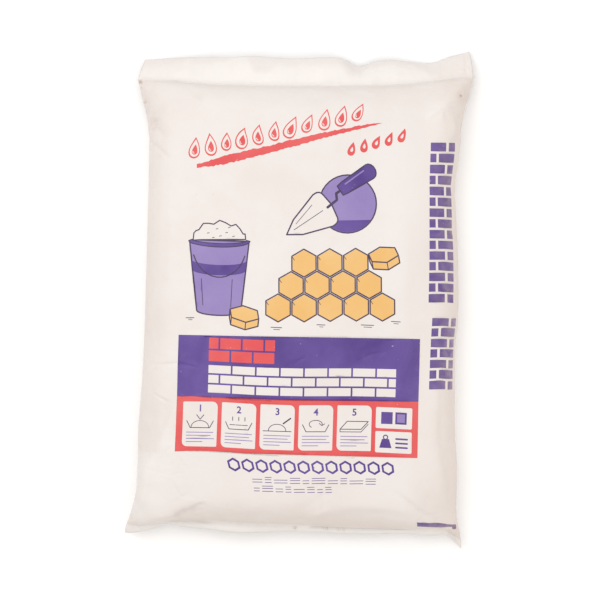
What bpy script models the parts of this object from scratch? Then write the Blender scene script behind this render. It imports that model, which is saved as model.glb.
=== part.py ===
# A filled cement sack, lying on its back with the printed side up.
# Metres. +Z is up, +Y runs towards the open header and +X to the right of someone reading the print.
# The origin is on the floor, under the middle of the bounding box.
import math

import bpy

# The film tube: two layers welded across the top and the bottom
FILM_LAYER = 0.0002
HEADER_CUT_HEIGHT = 0.036
BOTTOM_STRIP_CUT_HEIGHT = 0.012

# The filled body
BODY_THICKNESS = 0.078       # over both layers, at the crown
CROWN_RISE = 0.005
SEAM_HEIGHT = 0.036
EAR_DROP = 0.013
EAR_REACH = 0.055
FLAT_BASE_OVERSHOOT = 0.004

# How far in from an edge the film needs to reach its full height
SIDE_SHOULDER_TOP = 0.046
SIDE_SHOULDER_BASE = 0.036
CORNER_SHOULDER_EXTRA = 0.030
TOP_END_SHOULDER = 0.056
BOTTOM_END_SHOULDER = 0.055

# The sides, bottom to top, as (along, across)
LEFT_SIDE = ((-0.2595, -0.1983), (-0.246, -0.193), (-0.2295, -0.188), (-0.213, -0.1845), (-0.149, -0.183),
             (-0.117, -0.1805), (-0.090, -0.1785), (-0.0535, -0.1765), (0.0645, -0.173), (0.1745, -0.1705),
             (0.1995, -0.172), (0.225, -0.178), (0.2507, -0.1842))
RIGHT_SIDE = ((-0.2766, 0.1857), (-0.2645, 0.184), (-0.248, 0.1805), (-0.188, 0.180), (-0.154, 0.1777),
              (-0.0535, 0.178), (-0.0215, 0.1813), (0.056, 0.181), (0.1015, 0.1786), (0.1287, 0.1777),
              (0.165, 0.1828), (0.202, 0.1862), (0.230, 0.1933), (0.2547, 0.200))

# The welds and the cut edges, left to right, as (across, along)
TOP_WELD = ((-0.1842, 0.2507), (-0.148, 0.2484), (-0.113, 0.2454), (-0.089, 0.244), (0.008, 0.2425),
            (0.103, 0.2435), (0.1387, 0.2462), (0.1683, 0.250), (0.200, 0.2547))
TOP_EDGE = ((-0.178, 0.277), (-0.1275, 0.2783), (-0.072, 0.278), (-0.0535, 0.2786), (-0.008, 0.2762),
            (0.0377, 0.2774), (0.0527, 0.2757), (0.0632, 0.2704), (0.0747, 0.269), (0.0838, 0.2729),
            (0.1065, 0.2751), (0.1355, 0.2729), (0.155, 0.2731), (0.1697, 0.2786), (0.197, 0.2865))
BOTTOM_WELD = ((-0.1983, -0.2595), (-0.1477, -0.2539), (-0.1116, -0.2529), (-0.0544, -0.2559),
               (0.033, -0.2608), (0.1197, -0.2628), (0.1576, -0.2631), (0.168, -0.2651), (0.1857, -0.2766))
BOTTOM_EDGE = ((-0.200, -0.2681), (-0.1914, -0.2684), (-0.173, -0.2645), (-0.1586, -0.2597), (-0.150, -0.257),
               (-0.137, -0.260), (-0.1085, -0.2627), (-0.0673, -0.2668), (-0.008, -0.2655), (0.0652, -0.2689),
               (0.1156, -0.268), (0.1542, -0.2707), (0.1674, -0.270), (0.186, -0.2865))

# Mesh density
ACROSS = 26
BODY_ROWS = 30
HEADER_ROWS = 4
STRIP_ROWS = 2

FILM_COLOUR = (0.86, 0.82, 0.78, 1.0)
FILM_ROUGHNESS = 0.38


def lerp(a, b, t):
    return a + (b - a) * t


def curve_at(points, position):
    """The value at a position on the smooth curve through (position, value) points."""
    last = len(points) - 1
    span = max(i for i in range(last) if points[i][0] <= position or i == 0)
    start, end = points[span], points[span + 1]
    before, after = points[max(span - 1, 0)], points[min(span + 2, last)]
    width = end[0] - start[0]
    slope_start = (end[1] - before[1]) / (end[0] - before[0]) * width
    slope_end = (after[1] - start[1]) / (after[0] - start[0]) * width
    t = min(max((position - start[0]) / width, 0.0), 1.0)
    return ((2 * t ** 3 - 3 * t ** 2 + 1) * start[1] + (t ** 3 - 2 * t ** 2 + t) * slope_start
            + (3 * t ** 2 - 2 * t ** 3) * end[1] + (t ** 3 - t ** 2) * slope_end)


def shoulder(distance, reach):
    """A quarter of a circle: 0 at the edge, 1 once the distance is the reach or more."""
    inside = 1.0 - min(max(distance / reach, 0.0), 1.0)
    return math.sqrt(1.0 - inside * inside)


def across_share(step):
    """From 0 at the left edge to 1 at the right, with the steps close together at both edges."""
    return 0.5 - 0.5 * math.cos(math.pi * step / ACROSS)


def along_share(row):
    """From 0 at the bottom weld to 1 at the top weld, closer together at both welds."""
    return 0.5 - 0.5 * math.cos(math.pi * row / BODY_ROWS)


def point_on(line, share):
    """The plan point that lies the given share of the way across a weld or a cut edge."""
    across = lerp(line[0][0], line[-1][0], share)
    return across, curve_at(line, across)


def body_plan(share, along):
    """Where a point of the body lies, seen from above."""
    left_along = lerp(LEFT_SIDE[0][0], LEFT_SIDE[-1][0], along)
    right_along = lerp(RIGHT_SIDE[0][0], RIGHT_SIDE[-1][0], along)
    x = lerp(curve_at(LEFT_SIDE, left_along), curve_at(RIGHT_SIDE, right_along), share)
    y = lerp(point_on(BOTTOM_WELD, share)[1], point_on(TOP_WELD, share)[1], along)
    return x, y


def weld_height(share, distance):
    """The height of the film's middle line, which drops towards the four corners."""
    off_centre = abs(2.0 * share - 1.0)
    return SEAM_HEIGHT - EAR_DROP * off_centre ** 4 * math.exp(-(distance / EAR_REACH) ** 2)


def body_pair(share, along):
    """The upper and the lower film point at one place of the body."""
    x, y = body_plan(share, along)
    left_x = body_plan(0.0, along)[0]
    right_x = body_plan(1.0, along)[0]
    length = point_on(TOP_WELD, share)[1] - point_on(BOTTOM_WELD, share)[1]
    to_top, to_bottom = (1.0 - along) * length, along * length
    to_end = min(to_top, to_bottom)
    to_side = min(x - left_x, right_x - x)
    corner = CORNER_SHOULDER_EXTRA * math.exp(-(to_end / EAR_REACH) ** 2)
    ends = shoulder(to_top, TOP_END_SHOULDER) * shoulder(to_bottom, BOTTOM_END_SHOULDER)
    middle = weld_height(share, to_end)
    crown = CROWN_RISE * (1.0 - (2.0 * share - 1.0) ** 2)
    full_height = BODY_THICKNESS - FILM_LAYER - CROWN_RISE + crown
    upper = middle + (full_height - middle) * ends * shoulder(to_side, SIDE_SHOULDER_TOP + corner)
    lower = middle - (middle + FLAT_BASE_OVERSHOOT) * ends * shoulder(to_side, SIDE_SHOULDER_BASE + corner)
    return (x, y, upper + FILM_LAYER), (x, y, max(lower - FILM_LAYER, 0.0))


def flap_pair(weld, edge, cut_height, share, outward):
    """The upper and the lower point of a flap. Where it looks short from above, it dips to keep its cut."""
    at_weld, at_edge = point_on(weld, share), point_on(edge, share)
    seen = math.dist(at_weld, at_edge)
    dip = math.sqrt(max(cut_height ** 2 - seen ** 2, 0.0))
    middle = weld_height(share, 0.0) - dip * outward ** 1.5
    middle = max(middle, 2 * FILM_LAYER)
    x, y = (lerp(at_weld[i], at_edge[i], outward) for i in (0, 1))
    return (x, y, middle + FILM_LAYER), (x, y, middle - FILM_LAYER)


def sack_rows():
    """Every row of film pairs, from the bottom cut edge to the header's cut edge."""
    shares = [across_share(step) for step in range(ACROSS + 1)]
    strip = [[flap_pair(BOTTOM_WELD, BOTTOM_EDGE, BOTTOM_STRIP_CUT_HEIGHT, share, row / STRIP_ROWS)
              for share in shares] for row in range(STRIP_ROWS, 0, -1)]
    body = [[body_pair(share, along_share(row)) for share in shares] for row in range(BODY_ROWS + 1)]
    header = [[flap_pair(TOP_WELD, TOP_EDGE, HEADER_CUT_HEIGHT, share, row / HEADER_ROWS) for share in shares]
              for row in range(1, HEADER_ROWS + 1)]
    return strip + body + header


def sack_mesh(name):
    """One closed skin: each row is a ring over the top and back under the sack."""
    rings = [[pair[0] for pair in row] + [pair[1] for pair in reversed(row)] for row in sack_rows()]
    count = len(rings[0])
    points = [point for ring in rings for point in ring]
    faces = []
    for row in range(len(rings) - 1):
        for step in range(count):
            following = (step + 1) % count
            faces.append((row * count + step, row * count + following,
                          (row + 1) * count + following, (row + 1) * count + step))
    for row, flip in ((0, True), (len(rings) - 1, False)):
        for step in range(ACROSS):
            upper, lower = row * count + step, row * count + count - 1 - step
            face = (upper, upper + 1, lower - 1, lower)
            faces.append(face[::-1] if flip else face)
    mesh = bpy.data.meshes.new(name)
    mesh.from_pydata(points, [], faces)
    mesh.validate()
    mesh.shade_smooth()
    mesh.set_sharp_from_angle(angle=math.radians(60))
    return mesh


def film_material():
    material = bpy.data.materials.new("film")
    material.use_nodes = True
    shader = material.node_tree.nodes["Principled BSDF"]
    shader.inputs["Base Color"].default_value = FILM_COLOUR
    shader.inputs["Roughness"].default_value = FILM_ROUGHNESS
    shader.inputs["Metallic"].default_value = 0.0
    return material


def main():
    for leftover in list(bpy.data.objects):
        bpy.data.objects.remove(leftover)
    sack = bpy.data.objects.new("filled_sack", sack_mesh("filled_sack"))
    sack.data.materials.append(film_material())
    bpy.context.scene.collection.objects.link(sack)


main()
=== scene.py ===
import math
import time

import bpy
import numpy as np
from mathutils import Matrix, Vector, noise
from mathutils.geometry import delaunay_2d_cdt


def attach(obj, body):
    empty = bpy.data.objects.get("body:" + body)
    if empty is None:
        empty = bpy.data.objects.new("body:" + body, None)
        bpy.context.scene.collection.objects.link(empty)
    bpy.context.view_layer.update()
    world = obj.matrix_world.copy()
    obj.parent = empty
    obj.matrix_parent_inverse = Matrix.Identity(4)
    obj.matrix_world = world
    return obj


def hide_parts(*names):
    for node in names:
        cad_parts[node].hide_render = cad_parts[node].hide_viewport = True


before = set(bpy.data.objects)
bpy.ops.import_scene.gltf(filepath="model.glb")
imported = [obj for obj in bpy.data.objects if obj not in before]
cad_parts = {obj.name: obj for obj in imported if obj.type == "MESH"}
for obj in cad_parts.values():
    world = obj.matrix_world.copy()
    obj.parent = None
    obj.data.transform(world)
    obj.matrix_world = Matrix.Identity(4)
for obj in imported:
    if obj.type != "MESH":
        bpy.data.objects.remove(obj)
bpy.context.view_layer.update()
startedAt = time.time()


def report(text):
    print(f"[{time.time() - startedAt:5.1f} s] {text}")


def addObject(name, data, place=(0, 0, 0)):
    made = bpy.data.objects.new(name, data)
    made.location = place
    bpy.context.scene.collection.objects.link(made)
    return made


def meshOf(name, points, faces, edges=()):
    mesh = bpy.data.meshes.new(name)
    mesh.from_pydata(points, edges, [tuple(int(k) for k in face) for face in faces])
    return mesh


def evaluated(made):
    return made.evaluated_get(bpy.context.evaluated_depsgraph_get())


# Adds a shader or geometry node. Each input is a number, a colour, a name or the output of another node
def addNode(tree, kind, inputs=(), **settings):
    node = tree.nodes.new(kind)
    for name, value in settings.items():
        setattr(node, name, value)
    setInputs(tree, node, inputs)
    return node


def setInputs(tree, node, inputs):
    for name, value in dict(inputs).items():
        socket = node.inputs[name]
        if isinstance(value, bpy.types.NodeSocket):
            tree.links.new(value, socket)
        else:
            socket.default_value = (*value, 1.0) if socket.type == "RGBA" else value


# Camera, floor and lights

studio = {
    "cameraHeight": 2.036, "seenWidth": 0.6804, "seenAtHeight": 0.036, "sensor": 36.0,
    "floorSize": 8.0, "floorColour": (0.96, 0.96, 0.96), "floorRoughness": 0.9,
    "worldColour": (1.0, 0.965, 0.93), "worldStrength": 0.80,
    "keyPower": 32.5, "keySize": 2.4, "keyPlace": (-0.60, 0.78, 2.35), "keyColour": (0.93, 0.97, 1.0),
    "fillPower": 9.0, "fillSize": 2.2, "fillPlace": (1.3, -1.0, 2.2), "fillColour": (1.0, 0.98, 0.95),
}


def softLight(name, place, size, power, colour):
    lamp = bpy.data.lights.new(name, "AREA")
    lamp.shape, lamp.size, lamp.energy, lamp.color = "SQUARE", size, power, colour
    addObject(name, lamp, place).rotation_euler = (-Vector(place)).to_track_quat("-Z", "Y").to_euler()


def buildStudio():
    scene = bpy.context.scene
    scene.view_settings.view_transform = "Standard"
    lens = bpy.data.cameras.new("camera")
    lens.sensor_width = studio["sensor"]
    lens.lens = studio["sensor"] * (studio["cameraHeight"] - studio["seenAtHeight"]) / studio["seenWidth"]
    scene.camera = addObject("camera", lens, (0, 0, studio["cameraHeight"]))
    for name in ("key", "fill"):
        softLight(f"{name}Light", *(studio[name + fact] for fact in ("Place", "Size", "Power", "Colour")))
    scene.world = bpy.data.worlds.new("studioWorld")
    half = studio["floorSize"] / 2
    ground = meshOf("studioFloor", [(-half, -half, 0), (half, -half, 0), (half, half, 0), (-half, half, 0)],
                    [(0, 1, 2, 3)])
    ground.materials.append(bpy.data.materials.new("studioFloor"))
    for owner, node, inputs in (
            (scene.world, "Background",
             {"Color": studio["worldColour"], "Strength": studio["worldStrength"]}),
            (ground.materials[0], "Principled BSDF",
             {"Base Color": studio["floorColour"], "Roughness": studio["floorRoughness"]})):
        owner.use_nodes = True
        setInputs(owner.node_tree, owner.node_tree.nodes[node], inputs)
    floor = addObject("studioFloor", ground)


buildStudio()
report("studio is set")


# The sack's shape: a flat tube of film, welded near both ends, swells with its fill between floor and plate

film = {"width": 0.400, "length": 0.600, "header": 0.035, "bottomStrip": 0.010, "layer": 0.0002}
halfWidth, halfLength = film["width"] / 2, film["length"] / 2
swelling = {
    "spacing": 0.005, "quickSpacing": 0.010, "middleHeight": 0.038, "firstGap": 0.003, "unevenness": 0.0008,
    "thickness": 0.078, "crown": 0.005, "lumps": 0.004, "lumpsPerMetre": 7.0, "frames": 24, "rampFrames": 10,
    "firstPressure": 0.5, "pressure": 40.0, "contact": 0.001, "plateSteps": 60, "plateHalf": (0.32, 0.42),
    "plateDepth": 0.02, "plateDamping": 0.5, "ripplesPerMetre": 9,
}
clothSettings = {
    "quality": 4, "mass": 0.002, "air_damping": 6.0, "tension_stiffness": 40.0, "compression_stiffness": 40.0,
    "shear_stiffness": 20.0, "bending_stiffness": 2.0, "tension_damping": 5.0, "compression_damping": 5.0,
    "shear_damping": 5.0, "bending_damping": 0.5, "use_pressure": True, "vertex_group_pressure": "filled",
}


# Which simulated vertex is at each row and column of the upper and the lower layer
class TubeGrid:
    def __init__(self, spacing):
        self.spacing = spacing
        self.columns = round(film["width"] / spacing)
        self.rows = round(film["length"] / spacing)
        self.bottomWeld = round(film["bottomStrip"] / spacing)
        self.topWeld = self.rows - round(film["header"] / spacing)
        self.front = np.arange((self.rows + 1) * (self.columns + 1)).reshape(self.rows + 1, self.columns + 1)
        self.back = self.front.copy()
        inner = self.back[self.bottomWeld + 1:self.topWeld, 1:-1]
        inner[:] = self.front.size + np.arange(inner.size).reshape(inner.shape)


# Evenly spaced places over the whole film
def filmGrid(columns, rows):
    return np.meshgrid(np.linspace(-halfWidth, halfWidth, columns + 1),
                       np.linspace(-halfLength, halfLength, rows + 1))


# The tube before it swells: two layers with a small gap, welded at both ends and closed at the sides
def flatTube(grid):
    x, y = filmGrid(grid.columns, grid.rows)
    share = np.clip((np.arange(grid.rows + 1) - grid.bottomWeld) / (grid.topWeld - grid.bottomWeld), 0, 1)
    bulge = np.sin(np.pi * share)[:, None] * np.cos(np.pi * x[0] / film["width"])
    belly = np.sqrt(bulge.clip(0))
    waved = np.stack([x.ravel(), y.ravel()], axis=1) * swelling["ripplesPerMetre"]
    ripple = np.array([noise.noise(Vector((a, b, 3.7))) for a, b in waved.tolist()])
    middle = swelling["middleHeight"] + swelling["unevenness"] * ripple.reshape(x.shape)
    upper = np.stack([x, y, middle + swelling["firstGap"] * belly], axis=-1)
    lower = np.stack([x, y, middle - swelling["firstGap"] * belly], axis=-1)
    lower = lower[grid.bottomWeld + 1:grid.topWeld, 1:-1]
    faces = []
    for j in range(grid.rows):
        for i in range(grid.columns):
            corners = ((j, i), (j, i + 1), (j + 1, i + 1), (j + 1, i))
            faces.append([grid.front[corner] for corner in corners])
            if grid.bottomWeld <= j < grid.topWeld:
                faces.append([grid.back[corner] for corner in corners[::-1]])
    points = np.concatenate([upper.reshape(-1, 3), lower.reshape(-1, 3)]).tolist()
    return addObject("flatTube", meshOf("flatTube", points, faces))


# A plate that stops the swelling film, level or slightly domed and lumpy
def pressingPlate(name, height, crown, lumps, facesDown):
    steps = swelling["plateSteps"]
    xs, ys = (np.linspace(-half, half, steps) for half in swelling["plateHalf"])
    points = []
    for y in ys:
        for x in xs:
            place = Vector((x, y, 0.3)) * swelling["lumpsPerMetre"]
            dome = crown * ((x / film["width"]) ** 2 + (y / film["length"]) ** 2) * 4
            points.append((x, y, height - dome + lumps * noise.noise(place)))
    quads = [(a * steps + b, a * steps + b + 1, (a + 1) * steps + b + 1, (a + 1) * steps + b)
             for a in range(steps - 1) for b in range(steps - 1)]
    plate = addObject(name, meshOf(name, points, [quad[::-1] for quad in quads] if facesDown else quads))
    plate.modifiers.new("Collision", "COLLISION")
    touch = plate.collision
    touch.thickness_outer, touch.thickness_inner = swelling["contact"], swelling["plateDepth"]
    touch.cloth_friction, touch.damping = 0, swelling["plateDamping"]
    return plate


def addCloth(tube, filled):
    tube.vertex_groups.new(name="filled").add(filled, 1.0, "REPLACE")
    cloth = tube.modifiers.new("Cloth", "CLOTH")
    sheet, touch = cloth.settings, cloth.collision_settings
    for name, value in clothSettings.items():
        setattr(sheet, name, value)
    sheet.effector_weights.gravity = 0.0
    for pressure, at in ((swelling["firstPressure"], 1), (swelling["pressure"], swelling["rampFrames"])):
        sheet.uniform_pressure_force = pressure
        tube.keyframe_insert('modifiers["Cloth"].settings.uniform_pressure_force', frame=at)
    touch.collision_quality, touch.distance_min, touch.use_self_collision = 3, swelling["contact"], False
    cloth.point_cache.frame_start, cloth.point_cache.frame_end = 1, swelling["frames"]


# Runs the simulation and gives the points of both layers as arrays of rows and columns
def swellTube():
    grid = TubeGrid(swelling["spacing"])
    tube = flatTube(grid)
    contact, top = swelling["contact"], swelling["thickness"] + swelling["contact"]
    plates = [pressingPlate("underPlate", -contact, 0.0, 0.0, False),
              pressingPlate("overPlate", top, swelling["crown"], swelling["lumps"], True)]
    body = slice(grid.bottomWeld, grid.topWeld + 1)
    addCloth(tube, np.unique([grid.front[body], grid.back[body]]).tolist())
    scene = bpy.context.scene
    for step in range(1, swelling["frames"] + 1):
        scene.frame_set(step)
    places = np.array([vertex.co[:] for vertex in evaluated(tube).to_mesh().vertices])
    scene.frame_set(1)
    for done in [tube, *plates]:
        mesh = done.data
        bpy.data.objects.remove(done)
        bpy.data.meshes.remove(mesh)
    return grid, places[grid.front], places[grid.back]


grid, frontLayer, backLayer = swellTube()
report(f"film tube is swollen, {np.ptp(frontLayer[grid.rows // 2, :, 0]) * 1000:.0f} mm wide at its middle")


# The sack's outline from above, close to the solid's: sides (along, across), welds and edges (across, along)

outline = {
    "leftSide": ((-0.2595, -0.1983), (-0.246, -0.193), (-0.2295, -0.188), (-0.213, -0.1845),
                 (-0.149, -0.183), (-0.117, -0.1805), (-0.090, -0.1785), (-0.0535, -0.1765),
                 (0.0645, -0.173), (0.1745, -0.1705), (0.1995, -0.172), (0.225, -0.178), (0.2507, -0.1842)),
    "rightSide": ((-0.2766, 0.1857), (-0.2645, 0.184), (-0.248, 0.1805), (-0.188, 0.180), (-0.154, 0.1777),
                  (-0.0535, 0.178), (-0.0215, 0.1813), (0.056, 0.181), (0.1015, 0.1786), (0.1287, 0.1777),
                  (0.165, 0.1828), (0.202, 0.1862), (0.230, 0.1933), (0.2547, 0.200)),
    "topWeld": ((-0.1842, 0.2507), (-0.148, 0.2484), (-0.113, 0.2454), (-0.089, 0.244), (0.008, 0.2425),
                (0.103, 0.2435), (0.1387, 0.2462), (0.1683, 0.250), (0.200, 0.2547)),
    "topEdge": ((-0.178, 0.277), (-0.1275, 0.2783), (-0.072, 0.278), (-0.0535, 0.2786), (-0.008, 0.2762),
                (0.0377, 0.2774), (0.0527, 0.2757), (0.0632, 0.2704), (0.0747, 0.269), (0.0838, 0.2729),
                (0.1065, 0.2751), (0.1355, 0.2729), (0.155, 0.2731), (0.1697, 0.2786), (0.197, 0.2865)),
    "bottomWeld": ((-0.1983, -0.2595), (-0.1477, -0.2539), (-0.1116, -0.2529), (-0.0544, -0.2559),
                   (0.033, -0.2594), (0.1197, -0.2622), (0.1576, -0.2631), (0.168, -0.2651),
                   (0.1857, -0.2766)),
    "bottomEdge": ((-0.200, -0.2681), (-0.1914, -0.2684), (-0.173, -0.2645), (-0.1586, -0.2597),
                   (-0.150, -0.257), (-0.137, -0.260), (-0.1085, -0.2627), (-0.0673, -0.2668),
                   (-0.008, -0.2655), (0.0652, -0.2689), (0.1156, -0.268), (0.1542, -0.2707),
                   (0.1674, -0.270), (0.186, -0.2865)),
}
lie = {
    "sag": 0.003, "earDrop": 0.010, "earReach": 0.055, "headerCut": 0.036, "stripCut": 0.012,
    "headerCurl": 0.009, "stripCurl": 0.001, "dipShare": 0.75, "ownWaves": 0.35, "lowestFlap": 0.0015,
    "rightFall": 0.0028, "rightFallFrom": 0.112, "rightFallTo": 0.150, "seamHeight": 0.038,
    "calmPlaces": ((-0.165, -0.190), (0.172, -0.210), (0.172, -0.245)), "calmReach": 0.034, "calmPasses": 60,
    "sideWavePower": 16, "bottomLean": 0.40, "topLean": 0.28, "earLean": 0.24, "wallRounding": 2.5,
    "earLeanFrom": 0.45, "earLeanTo": 0.80, "roundingTo": 0.08, "leanSoftness": 0.1, "leanSoftTo": 0.04,
    "bodyLength": 0.505, "courseSpots": 60, "courseDegree": 4,
}


# The smooth curve through (place, value) points, at an array of places
def curveAt(points, places):
    at, value = np.array(points).T
    slope = np.empty_like(value)
    slope[1:-1] = (value[2:] - value[:-2]) / (at[2:] - at[:-2])
    slope[0], slope[-1] = ((value[k + 1] - value[k]) / (at[k + 1] - at[k]) for k in (0, -2))
    k = np.clip(np.searchsorted(at, places) - 1, 0, len(at) - 2)
    width = at[k + 1] - at[k]
    t = np.clip((places - at[k]) / width, 0, 1)
    return ((2 * t ** 3 - 3 * t ** 2 + 1) * value[k] + (t ** 3 - 2 * t ** 2 + t) * slope[k] * width
            + (3 * t ** 2 - 2 * t ** 3) * value[k + 1] + (t ** 3 - t ** 2) * slope[k + 1] * width)


def mix(a, b, t):
    return a + (b - a) * t


def smoothStep(value, low, high):
    t = np.clip((value - low) / (high - low), 0, 1)
    return t * t * (3 - 2 * t)


# The plan points that lie the given shares of the way across a weld or a cut edge
def onLine(name, share):
    points = outline[name]
    across = mix(points[0][0], points[-1][0], share)
    return np.stack([across, curveAt(points, across)], axis=-1)


# A side's smooth course, and how far the outline is off it at each place along the body
def sideCourse(name, along):
    points = outline[name]
    low, high = points[0][0], points[-1][0]
    spots = np.linspace(low, high, lie["courseSpots"])
    at = mix(low, high, along)
    smooth = np.polyval(np.polyfit(spots, curveAt(points, spots), lie["courseDegree"]), at)
    return smooth, curveAt(points, at) - smooth


# Only the film close to a side follows that side's own waves, so the print stays straight
def acrossAt(share, along):
    (left, leftOff), (right, rightOff) = (sideCourse(name, along) for name in ("leftSide", "rightSide"))
    nearLeft, nearRight = ((1 - share).clip(0) ** lie["sideWavePower"], share.clip(0) ** lie["sideWavePower"])
    return mix(left, right, share) + leftOff * nearLeft + rightOff * nearRight


def smoothedAlong(values):
    soft = values.copy()
    for _ in range(lie["calmPasses"]):
        soft[1:-1] = (soft[:-2] + 2 * soft[1:-1] + soft[2:]) / 4
    return soft


# Makes the end walls lean: past a weld the film runs inwards by at least a share of its own length
def leaned(inwards, rowsIn, share, lean):
    walked = (rowsIn.clip(0) * grid.spacing / lie["bodyLength"])[:, None]
    ear = smoothStep(np.abs(2 * share - 1), lie["earLeanFrom"], lie["earLeanTo"])
    rounding = 1 + lie["wallRounding"] * walked.clip(0, lie["roundingTo"])
    least = mix(lean, lie["earLean"], ear) * walked * rounding
    softness = lie["leanSoftness"] * walked.clip(0, lie["leanSoftTo"])
    return (inwards + least + np.sqrt((inwards - least) ** 2 + softness ** 2)) / 2


# Moves the simulated body in plan, so that sides and welds lie on the outline, and calms its pinched places
def fitBody(layer, lowSide, highSide):
    share = (layer[..., 0] - lowSide[:, None]) / (highSide - lowSide)[:, None]
    bottomY, topY = layer[grid.bottomWeld, :, 1], layer[grid.topWeld, :, 1]
    along, rows = (layer[..., 1] - bottomY) / (topY - bottomY), np.arange(grid.rows + 1)
    along = leaned(along, rows - grid.bottomWeld, share, lie["bottomLean"])
    along = 1 - leaned(1 - along, grid.topWeld - rows, share, lie["topLean"])
    y = mix(onLine("bottomWeld", share)[..., 1], onLine("topWeld", share)[..., 1], along)
    plan = np.stack([acrossAt(share, along), y], axis=-1)
    calm = sum(np.exp(-(np.linalg.norm(plan - np.array(place), axis=-1) / lie["calmReach"]) ** 4)
               for place in lie["calmPlaces"]).clip(0, 1)
    share, height = (mix(values, smoothedAlong(values), calm) for values in (share, layer[..., 2]))
    x = acrossAt(share, along)
    z = height - lie["sag"] * np.sin(np.pi * np.clip(height / swelling["thickness"], 0, 1))
    toEnd = np.minimum(along, 1 - along) * film["length"]
    z = z - lie["earDrop"] * np.abs(2 * share - 1) ** 4 * np.exp(-(toEnd / lie["earReach"]) ** 2)
    raised = np.clip((height - lie["seamHeight"]) / (swelling["thickness"] - lie["seamHeight"]), 0, 1)
    z = z - lie["rightFall"] * raised * smoothStep(x, lie["rightFallFrom"], lie["rightFallTo"])
    return np.stack([x, y, np.maximum(z, 0.0)], axis=-1), share


# Lays a flap out from its weld. Where it looks short from above, it dips to keep its cut height
def fitFlap(fitted, simulated, share, weldRow, edgeRow, weldName, edgeName, cut, curl):
    atWeld, atEdge = onLine(weldName, share), onLine(edgeName, share)
    seen = np.linalg.norm(atEdge - atWeld, axis=-1)
    dip = lie["dipShare"] * np.sqrt(np.clip(cut ** 2 - seen ** 2, 0, None))
    count = abs(edgeRow - weldRow)
    for step in range(1, count + 1):
        row = weldRow + step * (1 if edgeRow > weldRow else -1)
        outward = step / count
        waves = lie["ownWaves"] * (simulated[row, :, 2] - simulated[weldRow, :, 2])
        height = fitted[weldRow, :, 2] - dip * outward ** 1.5 - curl * outward ** 4 + waves
        fitted[row, :, :2] = mix(atWeld, atEdge, outward)
        fitted[row, :, 2] = np.maximum(height, lie["lowestFlap"])


# How far out the smoothed film reaches on each row of the body, and the cut film on each row of the flaps
def sideExtents():
    ring = np.concatenate([frontLayer[..., 0], backLayer[:, -2:0:-1, 0]], axis=1)
    smoothed = (4 * ring + np.roll(ring, 1, axis=1) + np.roll(ring, -1, axis=1)) / 6
    low, high = frontLayer[:, 0, 0].copy(), frontLayer[:, -1, 0].copy()
    body = slice(grid.bottomWeld + 1, grid.topWeld)
    low[body], high[body] = smoothed[body].min(axis=1), smoothed[body].max(axis=1)
    return low, high


def fitLayers():
    lowSide, highSide = sideExtents()
    fittedLayers = []
    for layer in (frontLayer, backLayer):
        fitted, share = fitBody(layer, lowSide, highSide)
        for weldRow, edgeRow, weldName, edgeName, cut, curl in (
                (grid.topWeld, grid.rows, "topWeld", "topEdge", lie["headerCut"], lie["headerCurl"]),
                (grid.bottomWeld, 0, "bottomWeld", "bottomEdge", lie["stripCut"], lie["stripCurl"])):
            fitFlap(fitted, layer, share[weldRow], weldRow, edgeRow, weldName, edgeName, cut, curl)
        fittedLayers.append(fitted)
    return fittedLayers


frontFitted, backFitted = fitLayers()


# A smooth surface through the fitted layers, read at any place on the film

def splineWeights(t):
    inner = 3 * t ** 3 - 6 * t ** 2 + 4
    return np.stack([(1 - t) ** 3, inner, -3 * t ** 3 + 3 * t ** 2 + 3 * t + 1, t ** 3]) / 6


# Adds a column past each side: the other layer's on the body, a straight continuation on the flaps
def continued(layer, other):
    left, right = 2 * layer[:, 0] - layer[:, 1], 2 * layer[:, -1] - layer[:, -2]
    body = slice(grid.bottomWeld + 1, grid.topWeld)
    left[body], right[body] = other[body, 1], other[body, -2]
    return np.concatenate([left[:, None], layer, right[:, None]], axis=1)


# Where places on the upper or lower layer lie: across and along are metres from the film's centre
def filmPoints(side, across, along):
    layer, other = (frontFitted, backFitted) if side == "front" else (backFitted, frontFitted)
    wide = continued(layer, other)
    column = np.clip((across + halfWidth) / grid.spacing, 0, grid.columns)
    row = np.clip((along + halfLength) / grid.spacing, 0, grid.rows)
    i = np.minimum(column.astype(int), grid.columns - 1)
    weightAcross = splineWeights(column - i)
    found = np.empty((len(row), 3))
    for low, high in ((0, grid.bottomWeld), (grid.bottomWeld, grid.topWeld), (grid.topWeld, grid.rows)):
        block = wide[low:high + 1]
        block = np.concatenate([(2 * block[0] - block[1])[None], block, (2 * block[-1] - block[-2])[None]])
        here = (row >= low) & (row <= high)
        j = np.minimum(row[here].astype(int), high - 1)
        weightAlong = splineWeights(row[here] - j)
        total = np.zeros((int(here.sum()), 3))
        for a in range(4):
            for b in range(4):
                weight = weightAlong[a] * weightAcross[b][here]
                total += weight[:, None] * block[j - low + a, i[here] + b]
        found[here] = total
    return found


# Folds and creases. Their paths and the print share one layout: millimetres from above, at the seam's height

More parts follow.
